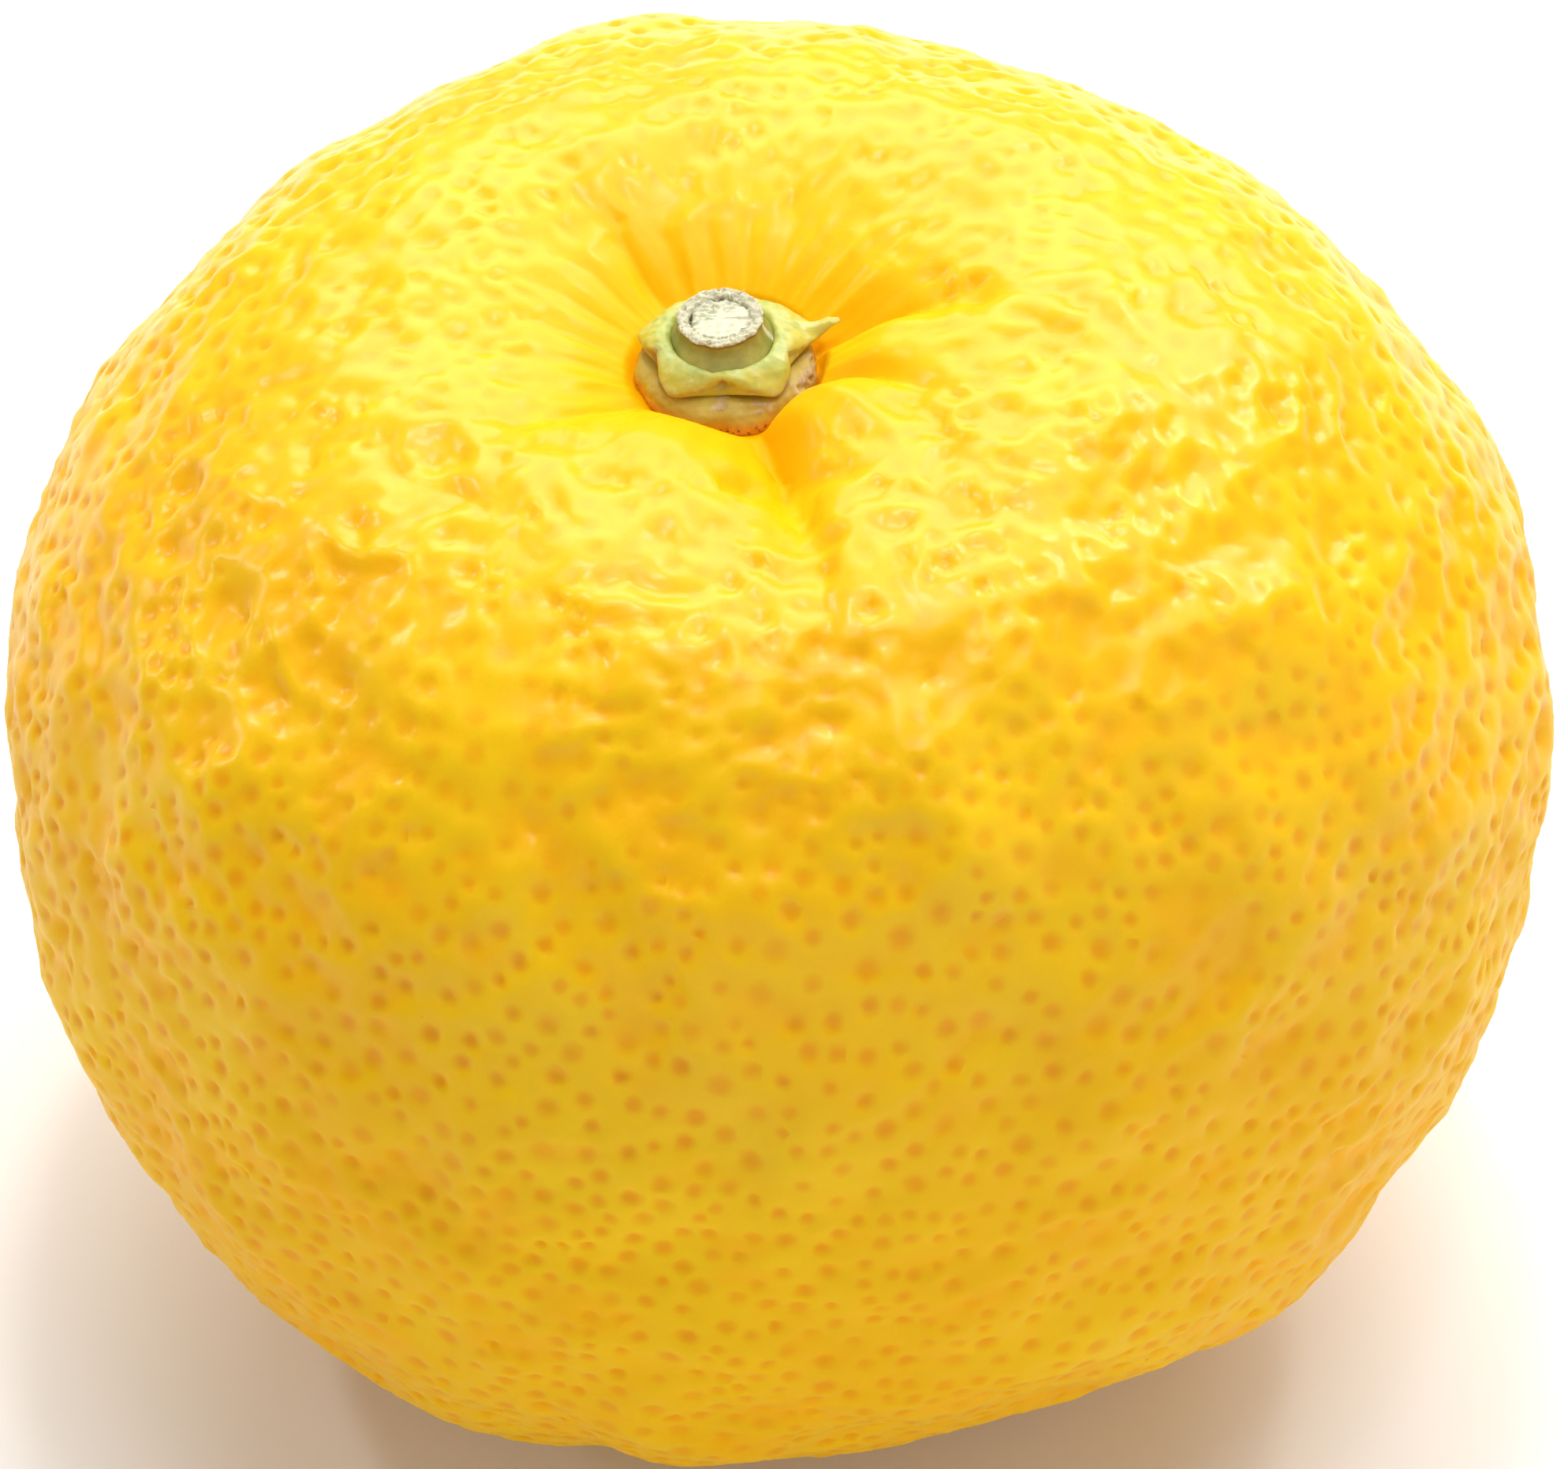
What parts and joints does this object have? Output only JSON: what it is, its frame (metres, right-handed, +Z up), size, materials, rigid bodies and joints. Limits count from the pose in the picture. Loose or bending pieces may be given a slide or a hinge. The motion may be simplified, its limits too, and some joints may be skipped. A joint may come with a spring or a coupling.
{
  "type": "yuzu",
  "caption": "Whole yuzu citrus fruit with pitted yellow rind, lobed hollow round a cut stem stub with its calyx, resting on a small flat spot.",
  "frame": {"origin": "middle of the fruit's outline seen from above, on the surface that it rests on", "axes": "+Z up, from the flower end to the stem end; +X to the right and +Y away from the viewer in the picture"},
  "size_m": [0.0704, 0.0692, 0.0547],
  "materials": {
    "rind": "waxy, semi-gloss",
    "cork": "rough, matt",
    "sepal": "satin",
    "bark": "rough, matt"
  },
  "bodies": {
    "root": {"fruit": "rind", "receptacle": "cork", "calyx": "sepal", "stem": "bark"}
  },
  "joints": []
}
